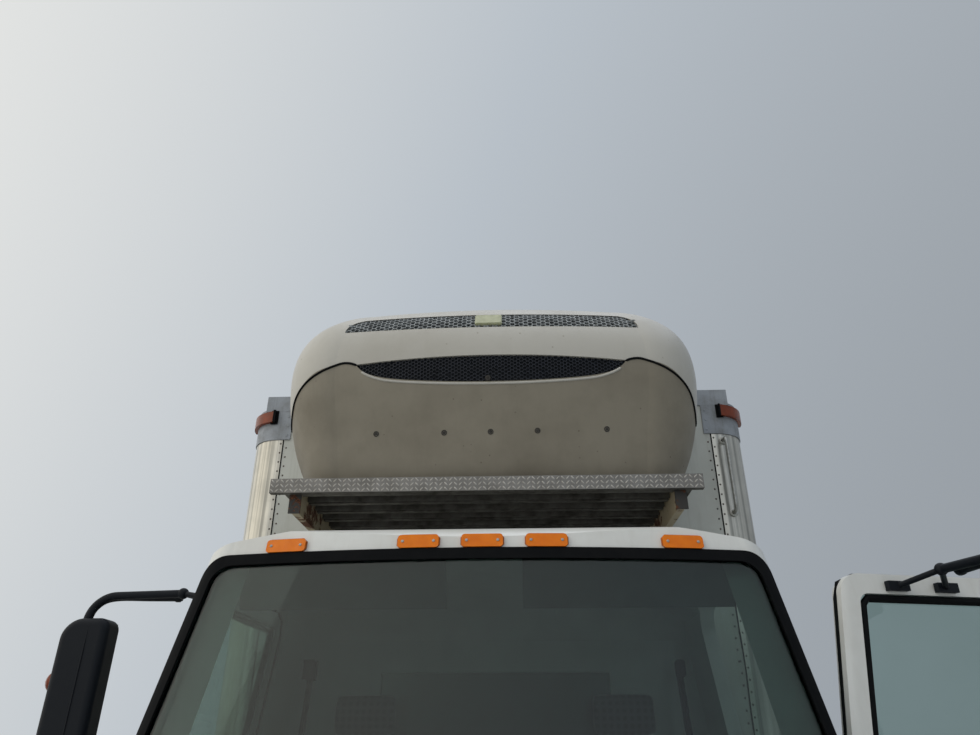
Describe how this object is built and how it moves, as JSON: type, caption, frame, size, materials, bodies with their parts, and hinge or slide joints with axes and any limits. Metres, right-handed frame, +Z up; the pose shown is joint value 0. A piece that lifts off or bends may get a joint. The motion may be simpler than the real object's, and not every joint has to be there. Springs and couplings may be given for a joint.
{
  "type": "refrigerated box truck",
  "caption": "Light forward-control truck with a tilting cab, an insulated box body with rear swing doors, and a nose-mounted cooling unit above a catwalk.",
  "frame": {"origin": "on the ground, on the centreline, under the middle of the front axle", "axes": "+Z up, +Y towards the rear of the truck, so the front faces -Y; +X towards the truck's left"},
  "size_m": [3.0327, 6.642, 3.48],
  "materials": {
    "amber_lens": "amber",
    "black_plastic": "textured",
    "bright_post": "brushed, rivetted",
    "chassis_black": "satin, rusty at edges",
    "clear_lens": "clear",
    "diamond_plate": "tread pattern",
    "engine_iron": "oily",
    "fabric": "woven",
    "galvanised": "dull zinc",
    "glass": "tinted",
    "grey_cap": "weathered grey paint",
    "grey_plastic": "grained",
    "red_lens": "red",
    "rubber": "matt",
    "rusty_steel": "rusted",
    "tyre": "matt, dusty",
    "unit_panel": "aged beige grey",
    "unit_shell": "off-white moulding",
    "wheel_white": "painted, dusty",
    "white_paint": "gloss white paint",
    "white_panel": "painted white sheet"
  },
  "bodies": {
    "chassis": {"frame_rails": "chassis_black", "frame_crossmembers": "chassis_black", "front_axle_beam": "chassis_black", "rear_axle_and_shaft": "chassis_black", "leaf_springs": "chassis_black", "engine_and_radiator": "engine_iron", "fuel_tank": "galvanised", "battery_box": "black_plastic", "exhaust_silencer": "rusty_steel", "front_bumper": "white_paint", "cab_mounts_and_steps": "chassis_black", "box_subframe": "galvanised", "box_floor": "galvanised", "box_side_walls": "white_panel", "box_front_wall": "white_panel", "box_corner_posts": "bright_post", "box_corner_caps": "grey_cap", "box_roof": "white_panel", "box_rear_frame": "bright_post", "box_lamps": "red_lens", "rear_bumper": "chassis_black", "rear_mudguards": "black_plastic", "unit_housing": "unit_shell", "unit_front_panel": "unit_panel", "unit_grilles": "black_plastic", "catwalk_deck": "diamond_plate", "catwalk_arms": "rusty_steel"},
    "cab": {"cab_body": "white_paint", "cab_roof": "white_paint", "cab_front_panel": "white_paint", "headlamps": "clear_lens", "front_grille": "black_plastic", "windscreen_gasket": "rubber", "cab_glass": "glass", "roof_lamps": "amber_lens", "dashboard": "grey_plastic", "seats": "fabric", "sun_visors": "grey_plastic"},
    "cab_door_left": {"cab_door_left": "white_paint", "cab_door_left_glass": "glass", "cab_door_left_mirror": "black_plastic"},
    "cab_door_right": {"cab_door_right": "white_paint", "cab_door_right_glass": "glass", "cab_door_right_mirror": "black_plastic"},
    "knuckle_left": {"knuckle_left": "chassis_black"},
    "knuckle_right": {"knuckle_right": "chassis_black"},
    "tie_rod": {"tie_rod": "chassis_black"},
    "front_wheel_left": {"front_wheel_left": "wheel_white", "front_tyre_left": "tyre"},
    "front_wheel_right": {"front_wheel_right": "wheel_white", "front_tyre_right": "tyre"},
    "rear_wheels_left": {"rear_wheels_left": "wheel_white", "rear_tyres_left": "tyre"},
    "rear_wheels_right": {"rear_wheels_right": "wheel_white", "rear_tyres_right": "tyre"},
    "rear_door_left": {"rear_door_left": "white_panel"},
    "rear_door_right": {"rear_door_right": "white_panel"}
  },
  "joints": [
    {"name": "cab_tilt", "type": "hinge", "parent": "chassis", "child": "cab", "pos_m": [0, -0.8, 0.74], "axis": [1, 0, 0], "range_deg": [0, 45]},
    {"name": "cab_door_left_hinge", "type": "hinge", "parent": "cab", "child": "cab_door_left", "pos_m": [0.923, -0.79, 1.1], "axis": [0, 0, 1], "range_deg": [0, 77]},
    {"name": "cab_door_right_hinge", "type": "hinge", "parent": "cab", "child": "cab_door_right", "pos_m": [-0.923, -0.79, 1.1], "axis": [0, 0, 1], "range_deg": [0, 77]},
    {"name": "rear_door_left_hinge", "type": "hinge", "parent": "chassis", "child": "rear_door_left", "pos_m": [1.241, 5.48, 2.1], "axis": [0, 0, 1], "range_deg": [-270, 0]},
    {"name": "rear_door_right_hinge", "type": "hinge", "parent": "chassis", "child": "rear_door_right", "pos_m": [-1.241, 5.48, 2.1], "axis": [0, 0, 1], "range_deg": [0, 270]},
    {"name": "steer_left", "type": "hinge", "parent": "chassis", "child": "knuckle_left", "pos_m": [0.67, 0, 0.385], "axis": [0, 0, 1], "range_deg": [-38, 38]},
    {"name": "steer_right", "type": "hinge", "parent": "chassis", "child": "knuckle_right", "pos_m": [-0.67, 0, 0.385], "axis": [0, 0, 1], "range_deg": [-38, 38]},
    {"name": "tie_rod_pivot", "type": "hinge", "parent": "knuckle_left", "child": "tie_rod", "pos_m": [0.67, 0.18, 0.32], "axis": [0, 0, 1], "range_deg": [-38, 38]},
    {"name": "front_wheel_left_spin", "type": "hinge", "parent": "knuckle_left", "child": "front_wheel_left", "pos_m": [0.82, 0, 0.385], "axis": [1, 0, 0], "continuous": true},
    {"name": "front_wheel_right_spin", "type": "hinge", "parent": "knuckle_right", "child": "front_wheel_right", "pos_m": [-0.82, 0, 0.385], "axis": [1, 0, 0], "continuous": true},
    {"name": "rear_wheels_left_spin", "type": "hinge", "parent": "chassis", "child": "rear_wheels_left", "pos_m": [0.825, 3.81, 0.385], "axis": [1, 0, 0], "continuous": true},
    {"name": "rear_wheels_right_spin", "type": "hinge", "parent": "chassis", "child": "rear_wheels_right", "pos_m": [-0.825, 3.81, 0.385], "axis": [1, 0, 0], "continuous": true}
  ],
  "couplings": [
    {"joint": "steer_right", "follows": "steer_left", "ratio": 1},
    {"joint": "tie_rod_pivot", "follows": "steer_left", "ratio": -1}
  ]
}
